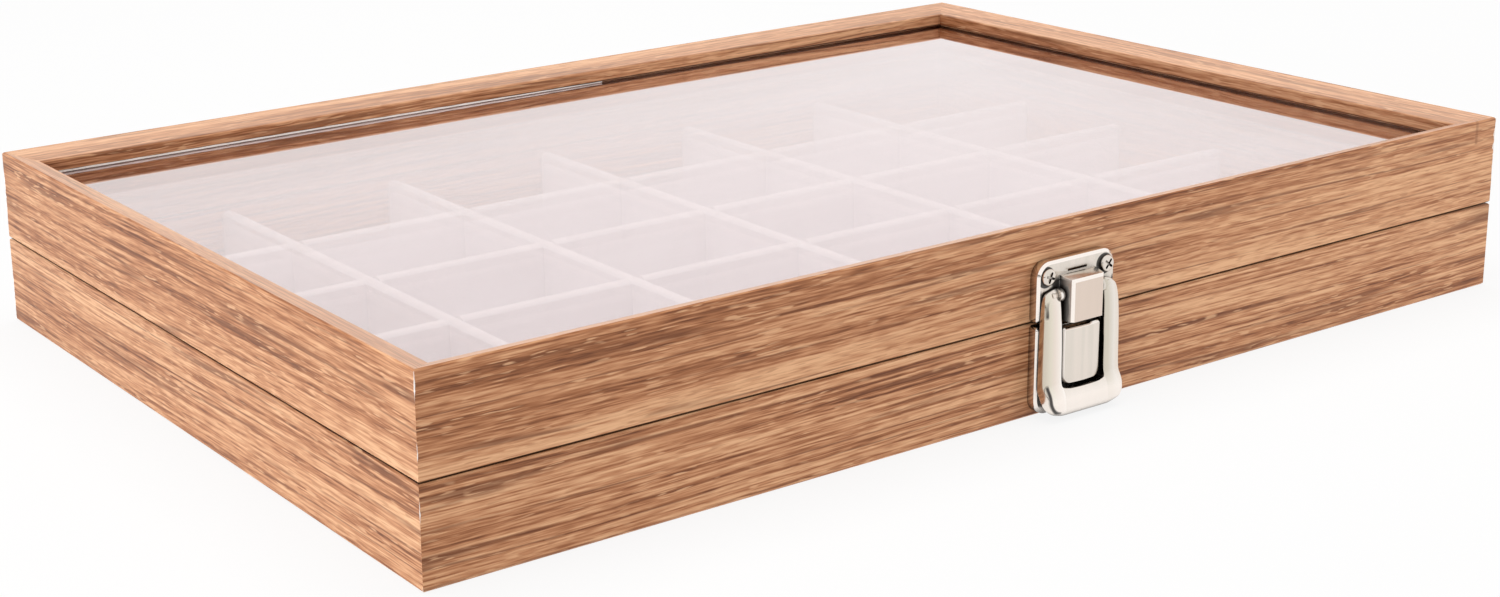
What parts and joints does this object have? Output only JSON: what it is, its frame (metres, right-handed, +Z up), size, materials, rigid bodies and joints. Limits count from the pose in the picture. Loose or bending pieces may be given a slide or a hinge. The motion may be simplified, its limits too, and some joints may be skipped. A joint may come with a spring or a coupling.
{
  "type": "mineral specimen box",
  "caption": "Flat wood-grain display case with a hinged glass lid, a grid of white velvet compartments and a snap hasp on the front.",
  "frame": {"origin": "middle of the flat underside of the case", "axes": "+X to the right along the long front, +Y from the front to the hinged back, +Z up"},
  "size_m": [0.35, 0.2411, 0.049],
  "materials": {
    "wood_grain_wrap": "satin light-oak grain wrap",
    "backing_board": "plain board",
    "white_velvet": "short flocked pile",
    "clear_glass": "clear float glass",
    "polished_nickel": "bright warm nickel plate"
  },
  "bodies": {
    "case_base": {"base_front_wall": "wood_grain_wrap", "base_back_wall": "wood_grain_wrap", "base_left_wall": "wood_grain_wrap", "base_right_wall": "wood_grain_wrap", "bottom_panel": "backing_board", "floor_lining": "white_velvet", "long_divider_1": "white_velvet", "long_divider_2": "white_velvet", "long_divider_3": "white_velvet", "long_divider_4": "white_velvet", "short_divider_1": "white_velvet", "short_divider_2": "white_velvet", "short_divider_3": "white_velvet", "short_divider_4": "white_velvet", "short_divider_5": "white_velvet", "keeper_plate": "polished_nickel", "keeper_screws": "polished_nickel", "base_hinge_screws": "polished_nickel", "left_hinge_base_leaf": "polished_nickel", "right_hinge_base_leaf": "polished_nickel", "left_hinge_pin": "polished_nickel", "right_hinge_pin": "polished_nickel"},
    "lid": {"lid_front_rail": "wood_grain_wrap", "lid_back_rail": "wood_grain_wrap", "lid_left_rail": "wood_grain_wrap", "lid_right_rail": "wood_grain_wrap", "glass_pane": "clear_glass", "catch_plate": "polished_nickel", "catch_screws": "polished_nickel", "hasp_pin": "polished_nickel", "lid_hinge_screws": "polished_nickel", "left_hinge_lid_leaf": "polished_nickel", "right_hinge_lid_leaf": "polished_nickel"},
    "latch_hasp": {"hasp": "polished_nickel"}
  },
  "joints": [
    {"name": "lid_hinge", "type": "hinge", "parent": "case_base", "child": "lid", "pos_m": [0, 0.1168, 0.02415], "axis": [-1, 0, 0], "range_deg": [0, 105]},
    {"name": "hasp_swing", "type": "hinge", "parent": "lid", "child": "latch_hasp", "pos_m": [0.0091, -0.1189, 0.0314], "axis": [-1, 0, 0], "range_deg": [0, 140]}
  ]
}
